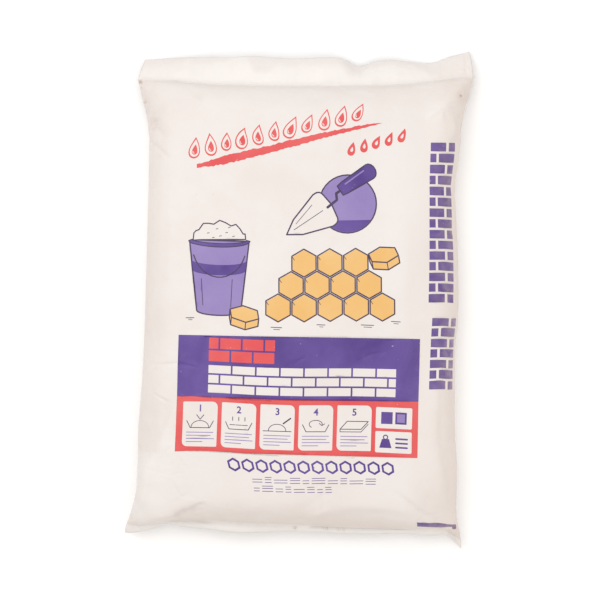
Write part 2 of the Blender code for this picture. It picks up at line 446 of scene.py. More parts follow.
# How much lower the film is right of a path, how softly and how far out; a ridge, its width and the path
folds = [
    (6.6, 1.1, 18, 1.4, 6,  # bottom left ear
     ((-154.7, -254.9), (-146.8, -251.4), (-138.8, -244.6), (-133.1, -240.6), (-124, -237.7),
      (-114.9, -233.2), (-107, -230.4))),
    (0.5, 2.5, 16, 0.1, 5,  # bottom, on the left
     ((-117.2, -245), (-95.6, -242.8), (-67.1, -242.8), (-38.7, -243.9), (-15.9, -247))),
    (3.8, 3, 24, 0.7, 6,  # bottom, on the right
     ((8, -256.4), (21.6, -251.3), (35.3, -247.3), (51.2, -243.3), (69.4, -241.6), (92.2, -242.1),
      (114.9, -245), (130.8, -250.2))),
    (1.6, 3, 14, 0, 3.5, ((162, 196), (165, 208.2), (171.8, 219.6), (180.9, 227.6))),  # top right ear
    (2.2, 2.2, 26, 0.6, 7,  # right side
     ((170.5, -236), (167.5, -203.7), (162.5, -179.8), (159, -154.7), (159.4, -128.6), (160.3, -98))),
    (3.2, 4, 22, 1.5, 8,  # left side
     ((-144.5, -114.9), (-149.1, -132), (-155.9, -146.8), (-162.7, -162.7), (-170.7, -178.6),
      (-176.4, -190))),
]
creases = [  # depth, half width and path; a ridge has a negative depth
    (2.2, 2.2, ((-182.6, 248.6), (-179.2, 245.2), (-175.8, 241.2))),  # top left corner
    (2.5, 3.6, ((-174.1, 226.4), (-169.5, 213.9), (-165, 203.7), (-160.4, 193.4), (-151.3, 182))),
    (1.8, 2.8, ((-165, 177.5), (-157, 168.4), (-147.9, 160.4))),
    (1.2, 5, ((-173.5, 232), (-160.4, 225.3))),
    (1.8, 1.6, ((-175.8, 225.3), (-172.9, 220.7))),
    (0.9, 1.6, ((-169.5, 196.8), (-160.4, 205.9))),
    (1.6, 3.2, ((-158.2, 245.8), (-137.7, 244.6), (-124, 240.1), (-110.4, 226.5))),
    (0.8, 3, ((8, 233.2), (21.6, 227.6), (37.5, 229.8))),
    (1.2, 2.2, ((35.3, 240.6), (50.1, 237.8), (61.4, 231))),
    (0.9, 2, ((128.6, 237.8), (142.2, 240.1), (157, 237.8))),
    (1.1, 4, ((110.4, 221.9), (149.1, 229.8), (187.7, 242.4))),
    (1, 5, ((176.5, 219), (171.5, 203), (169, 183))),  # top right corner
    (-1.4, 3.2, ((175.2, 229.8), (167.3, 223), (158.2, 215), (144.5, 204.8))),
    (2.4, 3, ((182.5, 236), (185.2, 227.5))),
    (1.2, 1.6, ((182, 205), (179, 180))),
    (1, 1.5, ((187.5, 288.5), (189.8, 270), (190.5, 254))),
    (1, 5, ((-149.1, 175.2), (-152.5, 112.6), (-154.7, 10.2))),  # left side
    (0.9, 4.5, ((-161.6, 2.3), (-163.8, -66))),
    (1.4, 6, ((-167.3, -97.9), (-166.1, -160.4))),
    (1.2, 5, ((-176.5, -140), (-177.5, -160), (-176.5, -182))),
    (-9.5, 9, ((-172.9, -174), (-177, -200), (-181, -226), (-189, -252))),
    (1, 1.5, ((-170.7, -74), (-158.2, -74.4), (-138.1, -73), (-112.6, -78.5))),
    (1, 1.8, ((-168.4, -105.8), (-158.2, -112.1), (-148.5, -117.8))),
    (0.9, 1.4, ((25, -218.5), (25.6, -237.8), (25, -257.1))),  # bottom
    (1.2, 5, ((-10.2, -245.8), (6.8, -237.8), (21.6, -228.7), (37.5, -217.3))),
    (-2.4, 4.5, ((0, -259), (19.3, -248), (37, -239))),
    (1.6, 3.2, ((107, -218.5), (121.7, -229.8), (135.4, -241.2), (149.1, -248.6), (160.4, -252.6))),
    (2.6, 1.8, ((172.5, -257.5), (177, -260.5), (180.5, -264.5))),
    (1.4, 1.8, ((168.5, -261), (173.5, -268), (178.5, -278))),
    (1, 1.4, ((-126, -240.5), (-116, -241.5), (-108, -238))),
    (1.2, 4.5, ((170.5, -150), (171.5, -238))),  # right side
    (0.9, 1.6, ((-5.7, -72.8), (8, -66))),  # panel
    (0.9, 1.6, ((67.1, -70.5), (83.1, -62.6), (100.1, -60.3))),
    (0.7, 1.3, ((-117.2, 118.3), (-116.1, 117.8))),
    (0.7, 1.3, ((-97.9, 118.9), (-96.7, 118.3))),
    (2, 4, ((-56, 265.1), (-40.5, 264.6), (-28, 266))),  # header
    (1, 5, ((54.9, 268.8), (63.1, 264.1), (73, 266))),
    (1.6, 3.5, ((134, 268.5), (148.5, 260), (159, 251.5))),
    (0.8, 4, ((-149.1, 269.7), (-124, 268.5), (-96.7, 270.8))),
]
pressing = {"foldFade": 0.6, "creaseFade": 0.8, "fineByFold": 3, "fineByCrease": 2, "fineBelow": 3.5}


# Where points lie in that layout
def seenFromAbove(points):
    nearer = (studio["cameraHeight"] - studio["seenAtHeight"]) / (studio["cameraHeight"] - points[:, 2])
    return points[:, :2] * nearer[:, None] * 1000


# How far each place is right of a path (negative on its left), and how far along it, from 0 to 1
def besidePath(places, path):
    nearest, along, walked = np.full(len(places), np.inf), np.zeros(len(places)), 0.0
    corners = np.array(path)
    total = np.linalg.norm(np.diff(corners, axis=0), axis=1).sum()
    for start, end in zip(corners[:-1], corners[1:]):
        run = end - start
        t = np.clip((places - start) @ run / (run @ run), 0, 1)
        gap = places - start - t[:, None] * run
        away = np.linalg.norm(gap, axis=1)
        side = np.where(run[1] * gap[:, 0] - run[0] * gap[:, 1] >= 0, 1.0, -1.0)
        closer = away < np.abs(nearest)
        nearest = np.where(closer, side * away, nearest)
        along = np.where(closer, (walked + t * np.linalg.norm(run)) / total, along)
        walked += np.linalg.norm(run)
    return nearest, along


# Moves points of the upper layer up and down along every fold and crease
def pressFolds(points):
    places = seenFromAbove(points)
    for lowered, soft, fall, ridge, ridgeWidth, path in folds:
        away, along = besidePath(places, path)
        step = (0.5 + 0.5 * np.tanh(away / soft)) * np.exp(-np.maximum(away, 0) / fall)
        raised = np.exp(-((away + ridgeWidth) / ridgeWidth) ** 2)
        fade = np.sin(np.pi * along.clip(0, 1)) ** pressing["foldFade"]
        points[:, 2] += fade * (ridge * raised - lowered * step) / 1000
    for depth, width, path in creases:
        away, along = besidePath(places, path)
        faded = (4 * along * (1 - along)).clip(0, 1) ** pressing["creaseFade"]
        points[:, 2] -= depth / 1000 * np.exp(-(away / width) ** 2) * faded
    return points


# Which places on the film are so close to a fold or narrow crease that the mesh is finer there
def besideCreases(places):
    seen = seenFromAbove(filmPoints("front", places[:, 0] / 1000, places[:, 1] / 1000))
    sharp = [(fold[1] * pressing["fineByFold"], fold[-1]) for fold in folds]
    sharp += [(width * pressing["fineByCrease"], path) for _, width, path in creases
              if width < pressing["fineBelow"]]
    chosen = np.zeros(len(places), dtype=bool)
    for reach, path in sharp:
        low, high = np.array(path).min(axis=0) - reach, np.array(path).max(axis=0) + reach
        near = np.flatnonzero(((seen > low) & (seen < high)).all(axis=1))
        away, _ = besidePath(seen[near], path)
        chosen[near[np.abs(away) < reach]] = True
    return chosen


# The print. It is laid out in millimetres as seen from above, and a smooth map takes it onto the flat film

inks = ("film", "purpleInk", "redInk", "orangeInk", "lilacInk", "darkInk")
drawn = []


def planTerms(x, y):
    x, y = x / 200, y / 200
    terms = [np.ones_like(x), x, y, x * x, x * y, y * y, x ** 3, x * x * y, x * y * y, y ** 3]
    return np.stack(terms, axis=-1)


# Gives the cubic from the layout to the film that best follows how a part of the upper layer lies
def printMap(lowAcross, highAcross, lowAlong, highAlong):
    u, v = (values.ravel() for values in np.meshgrid(np.linspace(lowAcross, highAcross, 31) / 1000,
                                                     np.linspace(lowAlong, highAlong, 47) / 1000))
    x, y = seenFromAbove(filmPoints("front", u, v)).T
    factors = np.linalg.lstsq(planTerms(x, y), np.stack([u, v], axis=-1) * 1000, rcond=None)[0]
    return lambda points: planTerms(*np.array(points, dtype=float).T) @ factors


# For the face, and for the stripe along the right side
fromLayout, fromMargin = printMap(-150, 150, -235, 225), printMap(138, 190, -284, 200)


steepRounds = 12


# The same for the mark under the stripe, closer than a cubic can be on the steep film there
def fromSteepMargin(points):
    layout, places = np.array(points, dtype=float), fromMargin(points)
    for _ in range(steepRounds):
        places += layout - seenFromAbove(filmPoints("front", *(places / 1000).T))
    return places


panel = {
    # top left, top right, bottom left and bottom right in the layout
    "corners": ((-136.5, -40.5), (136.8, -45.2), (-140.3, -173.1), (135.4, -180.5)),
    "width": 275, "height": 134, "split": -70.7,
    # left, bottom, right, top, number of courses, length of a block and width of a joint
    "redBlocks": (35, -31, 110, -4, 2, 23.5, 2), "lightBlocks": (35, -67, 248.5, -35.5, 3, 25.4, 2),
}


# Places in the printed panel, from its top left corner, which lies a little askew on the sack
def fromPanel(points):
    x, y = np.array(points, dtype=float).T
    across, down = (x / panel["width"])[:, None], (-y / panel["height"])[:, None]
    topLeft, topRight, bottomLeft, bottomRight = np.array(panel["corners"])
    return fromLayout(mix(mix(topLeft, topRight, across), mix(bottomLeft, bottomRight, across), down))


# A rectangle with rounded corners, from the bottom left one round against the clock
def box(left, bottom, right, top, corners=(0, 0, 0, 0)):
    points = []
    places = ((left, bottom, 1, 1, 180), (right, bottom, -1, 1, 270),
              (right, top, -1, -1, 0), (left, top, 1, -1, 90))
    for (x, y, inX, inY, fromAngle), radius in zip(places, corners):
        for step in range(6 if radius else 1):
            angle = math.radians(fromAngle + 18 * step)
            points.append((x + radius * (inX + math.cos(angle)), y + radius * (inY + math.sin(angle))))
    return points


def arc(x, y, radiusX, radiusY, fromAngle, toAngle, count=14):
    angles = [math.radians(mix(fromAngle, toAngle, step / (count - 1))) for step in range(count)]
    return [(x + radiusX * math.cos(angle), y + radiusY * math.sin(angle)) for angle in angles]


def turned(points, angle, x=0, y=0, scale=1):
    cos, sin = math.cos(math.radians(angle)) * scale, math.sin(math.radians(angle)) * scale
    return [(x + a * cos - b * sin, y + a * sin + b * cos) for a, b in points]


def dash(x, y, reach, rise=0):
    return [(x, y), (x + reach, y + rise)]


# Blocks laid in courses, every second course shifted by half a block
def bond(left, bottom, right, top, courses, block, joint):
    height = (top - bottom - joint * (courses - 1)) / courses
    blocks = []
    for course in range(courses):
        low, edge = bottom + course * (height + joint), left - (block + joint) / 2 * (course % 2)
        while edge < right - joint:
            start, stop = max(edge, left), min(edge + block, right)
            if stop - start > 2 * joint:
                blocks.append(box(start, low, stop, low + height))
            edge += block + joint
    return blocks


registration = (0.8, -0.6)  # how far the orange ink lies off its outlines


class Pen:
    def __init__(self, place):
        self.place = place  # takes the pen's own millimetres to the flat film

    def fill(self, ink, *shapes):
        drawn.extend((inks.index(ink), self.place(shape)) for shape in shapes)

    def line(self, points, width, ink="darkInk"):
        for (x0, y0), (x1, y1) in zip(points, points[1:]):
            heading = math.degrees(math.atan2(y1 - y0, x1 - x0))
            self.fill(ink, arc(x1, y1, width / 2, width / 2, heading - 90, heading + 90, 6)
                      + arc(x0, y0, width / 2, width / 2, heading + 90, heading + 270, 6))

    def outlined(self, ink, points, width):
        shiftX, shiftY = registration if ink == "orangeInk" else (0, 0)
        self.fill(ink, [(x + shiftX, y + shiftY) for x, y in points])
        self.line(points + points[:1], width)

    def numeral(self, ink, text, x, y, height):
        curve = bpy.data.curves.new("numeral", "FONT")
        curve.body, curve.align_x, curve.align_y = text, "CENTER", "CENTER"
        curve.size, curve.offset, curve.resolution_u = height * 1.38, 0.03 * height, 3
        holder = addObject("numeral", curve)
        mesh = bpy.data.meshes.new_from_object(evaluated(holder))
        corners = [(vertex.co.x + x, vertex.co.y + y) for vertex in mesh.vertices]
        self.fill(ink, *[[corners[k] for k in face.vertices] for face in mesh.polygons])
        bpy.data.objects.remove(holder)
        bpy.data.curves.remove(curve)
        bpy.data.meshes.remove(mesh)


steps = {
    "left": 7.4, "top": -77.4, "bottom": -128.8, "width": 39.2, "pitch": 43.9, "numeral": 8,
    "corners": (6, 1.2, 6, 1.2), "numeralDrop": 8.2, "pictureAt": -101.5, "rows": (30, 27, 31, 18),
    "rowsHalf": 15, "firstRow": -112.6, "rowPitch": 3.6, "rowWidth": 0.9,
}
facts = {
    "left": 227, "right": 268.3, "top": -78.6, "split": (-102.4, -105.7), "bottom": -129.8, "corner": 1.6,
}


def drawPanel(pen):
    pen.fill("purpleInk", box(0, panel["split"], panel["width"], 0))
    pen.fill("redInk", box(0, -panel["height"], panel["width"], panel["split"]),
             *bond(*panel["redBlocks"]))
    pen.fill("film", *bond(*panel["lightBlocks"]))
    for number in range(5):
        left, top = steps["left"] + number * steps["pitch"], steps["top"]
        middle = left + steps["width"] / 2
        pen.fill("film", box(left, steps["bottom"], left + steps["width"], top, steps["corners"]))
        pen.numeral("purpleInk", str(number + 1), middle, top - steps["numeralDrop"], steps["numeral"])
        drawStep(pen, number, middle, steps["pictureAt"])
        for row, reach in enumerate(steps["rows"]):
            bar = dash(middle - steps["rowsHalf"], steps["firstRow"] - steps["rowPitch"] * row, reach)
            pen.line(bar, steps["rowWidth"], "lilacInk")
    drawFacts(pen, (facts["left"] + facts["right"]) / 2)


# Two squares above, a weight with three bars below
def drawFacts(pen, middle):
    for low, high in ((facts["split"][0], facts["top"]), (facts["bottom"], facts["split"][1])):
        pen.fill("film", box(facts["left"], low, facts["right"], high, [facts["corner"]] * 4))
    pen.fill("purpleInk", *(box(left, -97.5, left + 13, -84) for left in (middle - 14.5, middle + 1.5)))
    pen.fill("lilacInk", box(middle + 3.6, -95.4, middle + 12.4, -86.1))
    pen.fill("purpleInk", [(middle - 16, -124.5), (middle - 2, -124.5),
                           (middle - 5, -114.5), (middle - 13, -114.5)])
    pen.line(arc(middle - 9, -112.5, 2.4, 2.4, 0, 360), 1.3, "purpleInk")
    for row in range(3):
        pen.line(dash(middle + 3, -114 - 4.8 * row, 12.5), 2, "purpleInk")


# A small line picture for each step: pour the powder, add water, heap it, mix it, smooth the slab
def drawStep(pen, number, x, y):
    tray, heap = [(-15, 2), (-11, -6), (11, -6), (15, 2)], arc(0, -5.5, 10, 7.5, 0, 180)
    slab = [(-16, -3), (-8, 6), (16, 6), (8, -3), (-16, -3)]
    pictures = (
        ((0.9, tray), (0.8, heap), (0.9, [(-4, 8.5), (0, 3.5), (4, 8.5)])),
        ((0.9, tray), *((width, path) for shift in (-7, 0, 7) for width, path in (
            (0.9, [(shift, 8), (shift, 4)]), (0.8, dash(shift - 3, -1, 6))))),
        ((0.8, heap), (0.9, dash(-16, -6, 32)), (1.6, [(15, 9), (7, 3)])),
        ((0.9, tray), (0.8, arc(0, 2.5, 7.5, 4.5, -20, 230)), (0.8, [(4, 3.4), (7.2, 1), (10.2, 3)])),
        ((0.9, slab), (0.8, [(-16, -3), (-16, -6), (8, -6), (16, 3)])),
    )
    for width, path in pictures[number]:
        pen.line(turned(path, 0, x, y), width)


stripe = {"width": 26.4, "lean": 0.020, "joint": 2.6, "block": 17.2,
          "groups": ((-4.5, 177.5, 15, 150.3), (-104, -22.5, 7, 151.2))}


# A narrow wall of blocks near the right side, which leans a little. Each group has its own left edge
def drawSideStripe(pen):
    for bottom, top, courses, left in stripe["groups"]:
        for block in bond(0, bottom, stripe["width"], top, courses, stripe["block"], stripe["joint"]):
            shift = left + stripe["lean"] * (block[0][1] - top)
            pen.fill("purpleInk", [(x + shift, y) for x, y in block])


bottomMark = {
    "bar": ((134.1, -258.8), (147, -259.5), (161.5, -260), (166.5, -259.6), (170, -259.2),
            (175.5, -259.2), (175.5, -256.8), (166.3, -255.6), (158, -254.6), (134, -254.1)),
    "spot": (174.2, -262, 178.8, -256.4), "spotCorner": 1.2,
}
hexes = {"first": -73, "pitch": 15.9, "count": 12, "y": -188.6, "across": 13.6, "ring": 2.3, "lean": -0.028}
fineBars = {
    # left, right, height in the layout and the lengths that take turns
    "rows": ((-53.5, 89, -205, (11, 7, 15)), (-52.5, 36, -215, (6, 12, 8))),
    "heights": (-2.6, 0.6, 3.2), "gap": 3.4, "width": 0.75,
}


# A plain bar with a small square spot at its right end
def drawBottomMark(pen):
    pen.fill("purpleInk", bottomMark["bar"], box(*bottomMark["spot"], (bottomMark["spotCorner"],) * 4))


def hexagon(x, y, across, turn=0):
    radius = across / math.sqrt(3)
    return turned(arc(0, 0, radius, radius, 30, 330, 6), turn, x, y)


# A row of paving stones seen from above, and two rows of fine bars under it
def drawSmallRows(pen):
    for number in range(hexes["count"]):
        x = hexes["first"] + number * hexes["pitch"]
        y = hexes["y"] + hexes["lean"] * (x - hexes["first"])
        pen.fill("purpleInk", hexagon(x, y, hexes["across"]))
        pen.fill("film", hexagon(x, y, hexes["across"] - 2 * hexes["ring"]))
    for left, right, y, lengths in fineBars["rows"]:
        edge, number = left, 0
        while edge < right:
            reach = min(lengths[number % 3], right - edge)
            for shift in fineBars["heights"][:2 + number % 2]:
                bar = dash(edge, y + shift + hexes["lean"] * (edge - left), reach)
                pen.line(bar, fineBars["width"], "purpleInk")
            edge += reach + fineBars["gap"]
            number += 1


brush = {
    "path": ((-117.5, 149.5), (37, 189.5), (94, 199.5)), "width": 10.5, "roughness": 1.5, "count": 110,
}


# A dry brush stroke, ragged on both sides and thinning to nothing
def drawBrushStroke(pen):
    upper, lower = [], []
    for step in range(brush["count"] + 1):
        t = step / brush["count"]
        x, y = (mix(mix(start, bend, t), mix(bend, end, t), t) for start, bend, end in zip(*brush["path"]))
        half = brush["width"] / 2 * (1 - t) ** 0.6 * (0.35 + 0.65 * min(1, 9 * t))
        for side, points in ((1, upper), (-1, lower)):
            rough = brush["roughness"] * noise.noise(Vector((x * 0.35, side * 9, 0.5))) * (1 - t) ** 0.35
            points.append((x, y + side * max(half + rough, 0.12)))
    pen.fill("redInk", upper[::-1] + lower)


# The outline of a drop of water with its tip up
def drop(x, y, size, turn):
    angles = [2 * math.pi * step / 24 for step in range(24)]
    return turned([(math.sin(angle) * math.sin(angle / 2) ** 1.2 * size * 0.66, math.cos(angle) * size * 0.9)
                   for angle in angles], turn, x, y)


drops = {"start": (-119, 170.5), "pitch": (18.6, 4.15), "count": 11, "size": 13.6, "edge": 2,
         "smallStart": (61, 170.5), "smallPitch": (14.2, 3.7), "smallCount": 5, "smallSize": 9}


def drawDrops(pen):
    for number in range(drops["count"]):
        x, y = (drops["start"][n] + number * drops["pitch"][n] for n in (0, 1))
        size, turn = drops["size"] * (1 + 0.10 * math.sin(number * 2.4)), -13 + 9 * math.sin(number * 1.7)
        pen.fill("redInk", drop(x, y, size, turn))
        pen.fill("film", drop(x, y - 0.3, size - drops["edge"] * 1.3, turn))
        pen.fill("redInk", drop(x, y - 2, size * 0.48, turn))
        gleam = arc(0, -size * 0.28, size * 0.12, size * 0.17, 190, 275, 6)
        pen.line(turned(gleam, turn, x, y), 0.9, "film")
    for number in range(drops["smallCount"]):
        x, y = (drops["smallStart"][n] + number * drops["smallPitch"][n] for n in (0, 1))
        turn = -16 + 8 * math.sin(number * 2.2)
        pen.fill("redInk", drop(x, y, drops["smallSize"], turn))
        pen.fill("film", drop(x, y - 0.6, drops["smallSize"] * 0.36, turn))


pavers = {"across": 29.5, "gap": 1.9, "line": 1.5,
          "courses": ((-24, -9.5, 5), (-9.25, 16, 4), (5.5, 41.5, 3)),
          "loose": ((-62, -17, -6), (96, 50, 9)), "looseAcross": 31, "thickness": 8.5}


# Six-sided paving stones in courses, and two loose ones seen from the side
def drawPavers(pen):
    for x, y, count in pavers["courses"]:
        for number in range(count):
            stone = hexagon(x + number * pavers["across"], y, pavers["across"] - pavers["gap"])
            pen.outlined("orangeInk", stone, pavers["line"])
            pen.line(dash(*stone[2], 3, -4.6), 0.7)
    for x, y, turn in pavers["loose"]:
        top = [(a, b * 0.52) for a, b in hexagon(0, 0, pavers["looseAcross"], 8)]
        side = top[2:]
        under = [(a, b - pavers["thickness"]) for a, b in side]
        for shape in (side + under[::-1], top):
            pen.outlined("orangeInk", turned(shape, turn, x, y), pavers["line"])
        for corner in (1, 2):
            pen.line(turned([side[corner], under[corner]], turn, x, y), 1.1)


bucket = {"x": -91, "rim": 66, "base": -14, "rimHalf": 34, "baseHalf": 25,
          "crumbs": ((-14, 8), (-4, 13), (7, 9), (15, 5), (0, 5), (-8, 3), (10, 15))}


# A mixing bucket with a heap of mortar over its rim
def drawBucket(pen):
    x, rim, base, wide, narrow = (bucket[key] for key in ("x", "rim", "base", "rimHalf", "baseHalf"))
    pen.outlined("lilacInk", [(x - wide, rim)] + arc(x, base, narrow, 5.5, 180, 360) + [(x + wide, rim)], 1.6)
    pen.fill("purpleInk", [(x - 31.2, rim - 22), *arc(x, rim - 22, 31.2, 6, 180, 360),
                           *arc(x, rim - 34, 29.8, 5.8, 360, 180)])
    heap = [(a, b + 2.4 * math.sin(n * 2.1)) for n, (a, b) in enumerate(arc(x, rim + 2, 30, 19, 0, 180, 15))]
    pen.outlined("film", heap, 1.4)
    for a, b in bucket["crumbs"]:
        pen.line(dash(x + a, rim + b, 2.2, 0.5), 0.8)
    lip = arc(x, rim, wide + 1, 7.5, 180, 360) + arc(x, rim + 1, wide - 3, 4.5, 360, 180)
    pen.outlined("purpleInk", lip, 1.2)
    pen.line(arc(x, rim - 4, wide - 3, 38, 200, 340), 1.4)
    pen.line([(x - 20, rim - 44), (x - 18, base + 6)], 0.8)
    pen.line([(x + 15, rim - 44), (x + 13.5, base + 4)], 0.8)


trowel = {"tip": (-14, 74), "turn": 33, "scale": 1.12, "discPlace": (56, 108), "discRadius": 33}


# A trowel with its blade down to the left, over a round spot of colour
def drawTrowel(pen):
    radius = trowel["discRadius"]
    pen.outlined("lilacInk", arc(*trowel["discPlace"], radius, radius, 0, 350, 36), 1.6)
    pen.fill("purpleInk", arc(*trowel["discPlace"], radius - 1, radius - 1, 215, 325, 24))

    def placed(points):
        return turned(points, trowel["turn"], *trowel["tip"], trowel["scale"])

    heel = [*arc(47, -13, 6, 6, -90, 0, 5), (55, 0), *arc(47, 13, 6, 6, 0, 90, 5)]
    pen.outlined("film", placed([(0, 0), (14, -9), (44, -19), *heel, (44, 19), (14, 9)]), 1.7)
    for width, path in ((0.8, [(9, 0), (44, 0)]), (0.7, [(14, 4), (38, 11)]),
                        (3, [(50, 0), (62, 1), (65, 7), (72, 7)])):
        pen.line(placed(path), width)
    grip = [(70, 1.5), (76, 0.5), (104, -1.5), *arc(106, 6.5, 6, 8, -90, 90, 8), (76, 13.5), (70, 12.5)]
    pen.outlined("purpleInk", placed(grip), 1.5)
    pen.line(placed([(78, 9.8), (101, 10.6)]), 1.6, "lilacInk")


groundMarks = [(-128, -22, 9), (-32, -31.5, 12), (20, -29, 9), (70, -30, 14), (104, -26, 10)]


# Pairs of short strokes on the ground, each from its left end and with its length
def drawGround(pen):
    for x, y, reach in groundMarks:
        pen.line(dash(x, y, reach, -0.5), 0.9)
        pen.line(dash(x + 3, y - 2.4, reach - 5, -0.4), 0.7)


drawPanel(Pen(fromPanel))
drawSmallRows(Pen(fromLayout))
drawSideStripe(Pen(fromMargin))
drawBottomMark(Pen(fromSteepMargin))
for draw in (drawBrushStroke, drawDrops, drawBucket, drawPavers, drawTrowel, drawGround):
    draw(Pen(fromLayout))
report(f"print is drawn, {len(drawn)} shapes")


# The sack as one closed mesh, with the print's edges cut into its upper layer

skin = {"step": 2.5, "backStep": 5, "creaseStep": 0.9, "rimFollow": 0.022, "mergeWithin": 0.002}


# The upper layer as triangles in millimetres on the film, with the ink of each
def cutFilm():
    halves = halfWidth * 1000, halfLength * 1000
    xs, ys = (np.linspace(-half, half, round(2 * half / skin["step"]) + 1) for half in halves)
    points = [Vector((x, y)) for y in ys for x in xs]
    fineSteps = (np.arange(skin["creaseStep"] / 2 - half, half, skin["creaseStep"]) for half in halves)
    fine = np.stack([values.ravel() for values in np.meshgrid(*fineSteps)], axis=1)
    points.extend(Vector(place) for place in fine[besideCreases(fine)].tolist())
    edges = []
    for _, shape in drawn:
        first, count = len(points), len(shape)
        edges.extend((first + k, first + (k + 1) % count) for k in range(count))
        points.extend(Vector(place) for place in shape)
    cut = delaunay_2d_cdt(points, edges, [], 0, skin["mergeWithin"], True)
    places, triangles = np.array([tuple(place) for place in cut[0]]), np.array(cut[2])
    newIndex = {old: new for new, olds in enumerate(cut[3]) for old in olds}
    atGrid = np.array([newIndex[k] for k in range(len(xs) * len(ys))]).reshape(len(ys), len(xs))
    return places, triangles, inkAt(places[triangles].mean(axis=1)), atGrid


# The ink of the last drawn shape that holds each place
def inkAt(places):
    found = np.zeros(len(places), dtype=int)
    for ink, corners in drawn:
        near = np.flatnonzero(((places > corners.min(axis=0)) & (places < corners.max(axis=0))).all(axis=1))
        x, y = places[near].T
        inside = np.zeros(len(near), dtype=bool)
        for (x0, y0), (x1, y1) in zip(corners, np.roll(corners, -1, axis=0)):
            if y0 != y1:
                inside ^= ((y0 > y) != (y1 > y)) & (x < x0 + (y - y0) / (y1 - y0) * (x1 - x0))
        found[near[inside]] = ink
    return found


# How far places on the film are from its sides, from the top weld and from the bottom weld
def toEdges(across, along):
    return (halfWidth - np.abs(across), halfLength - film["header"] - along,
            along + halfLength - film["bottomStrip"])


# The lower layer on its own grid. Near the rim it moves with the upper one's folds
def lowerLayer(rows, columns):
    across, along = (values.ravel() for values in filmGrid(columns, rows))
    points = filmPoints("back", across, along)
    follows = 1 - smoothStep(np.minimum.reduce(toEdges(across, along)), 0, skin["rimFollow"])
    points = mix(points, pressFolds(points.copy()), follows[:, None])
    points[:, 2] = np.maximum(points[:, 2] - film["layer"], 0.0)
    return np.stack([across, along], axis=1), points


# The lower layer's faces and those that close the rim, between the vertices of both layers' grids
def closingFaces(upper, lower):
    rows, columns = lower.shape[0] - 1, lower.shape[1] - 1
    faces = []
    for j in range(rows):
        faces += [(lower[j, i], lower[j + 1, i], lower[j + 1, i + 1], lower[j, i + 1])
                  for i in range(columns)]
        faces.append((upper[j, 0], upper[j + 1, 0], lower[j + 1, 0], lower[j, 0]))
        faces.append((upper[j, -1], lower[j, -1], lower[j + 1, -1], upper[j + 1, -1]))
    for j, order in ((rows, 1), (0, -1)):
        for i in range(columns):
            u0, u1, u2 = upper[j, 2 * i:2 * i + 3]
            l0, l1 = lower[j, i:i + 2]
            faces += [face[::order] for face in ((u0, u1, l0), (u1, l1, l0), (u1, u2, l1))]
    return faces


# Joins the upper layer with its print, the lower layer and the faces along the rim
def buildSack():
    places, triangles, ink, atGrid = cutFilm()
    upper = pressFolds(filmPoints("front", *(places / 1000).T)) + (0.0, 0.0, film["layer"])
    rows, columns = len(atGrid) - 1, round(film["width"] * 1000 / skin["backStep"])
    lowerPlaces, lower = lowerLayer(rows, columns)
    atBack = len(upper) + np.arange(len(lower)).reshape(rows + 1, columns + 1)
    closing = closingFaces(atGrid, atBack)
    points, filmPlaces = np.concatenate([upper, lower]), np.concatenate([places / 1000, lowerPlaces])
    mesh = meshOf("printedSack", points.tolist(), triangles.tolist() + closing)
    mesh.polygons.foreach_set("material_index", ink.tolist() + [0] * len(closing))
    mesh.shade_smooth()
    addFilmMap(mesh, filmPlaces, len(upper))
    addFilmState(mesh, filmPlaces, points)
    return addObject("printedSack", mesh)


filmMap = {"margin": 0.006, "scale": 1.6, "backScale": 0.8, "backStart": 0.665}


# Both layers side by side on one map, the upper one larger
def addFilmMap(mesh, places, upperCount):
    byVertex = places + (halfWidth, halfLength)
    byVertex[:upperCount, 0] = filmMap["margin"] + byVertex[:upperCount, 0] * filmMap["scale"]
    byVertex[upperCount:, 0] = filmMap["backStart"] + byVertex[upperCount:, 0] * filmMap["backScale"]
    byVertex[:, 1] = filmMap["margin"] + byVertex[:, 1] * filmMap["scale"]
    corners = np.empty(len(mesh.loops), dtype=np.int64)
    mesh.loops.foreach_get("vertex_index", corners)
    layer = mesh.uv_layers.new(name="OFBake")
    layer.uv.foreach_set("vector", byVertex[corners].astype(np.float32).ravel())


filmState = {
    # how loose the film is, and how far in from an edge, in metres
    "middle": 0.32, "side": (0.55, 0.045), "flap": (0.60, 0.050), "ear": (1.0, 0.060),
    # how soiled and shaded, and how far in: real soil together with painted shade that darkens the film
    # towards its sides and welds
    "soilAndShadeLeft": (0.20, 0.034), "soilAndShadeRight": (0.34, 0.044), "soilAndShadeTop": (0.05, 0.034),
    "soilAndShadeBottom": (0.32, 0.034), "flapSoilAndShade": 0.35,
    # across the film, and how far down from its cut edge the header's rim is darker there, a painted shade of
    # its curled edge, in millimetres
    "headerShadedRim": ((-200, 18), (-190, 11), (-174, 8), (-156, 6), (-146, 3.5), (-138, 6), (-126, 10),
                  (-116, 11), (-105, 7), (-93, 3), (-82, 1), (-73, 3), (-65, 12), (-56, 17), (-46, 17),
                  (-39, 11), (-28, 9), (33, 9), (45, 12), (54, 15), (61, 15), (70, 11), (78, 9), (112, 9),
                  (124, 6), (134, 8), (143, 13), (150, 20), (157, 28), (163, 38), (200, 40)),
    "rimSoft": (-5, 7), "shadedRimLevel": 0.30, "flapFrom": 0.006, "emptyEdge": (0.001, 0.005),
    "bodyEdge": (0, 0.004),
    # an unevenness as its strength, its detail and where its noise is read
    # the last one makes lighter blotches on the flaps, a painted sheen
    "rimUneven": (4.0, 80, 1.5), "rimFine": (2.5, 230, 4.5), "paintedSheenUneven": (0.35, 110, 8.5),
    # a strength, and the stretch over which it sets in
    "emptyRight": (0.40, 0.150, 0.172), "emptyEnds": (0.28, 0.095, 0.165),
    # how much of the lighter colour the painted light places take, and how much of the soil and painted shade
    # they take away
    "paintedLightLevel": 0.8, "paintedLightShare": 0.8,
}
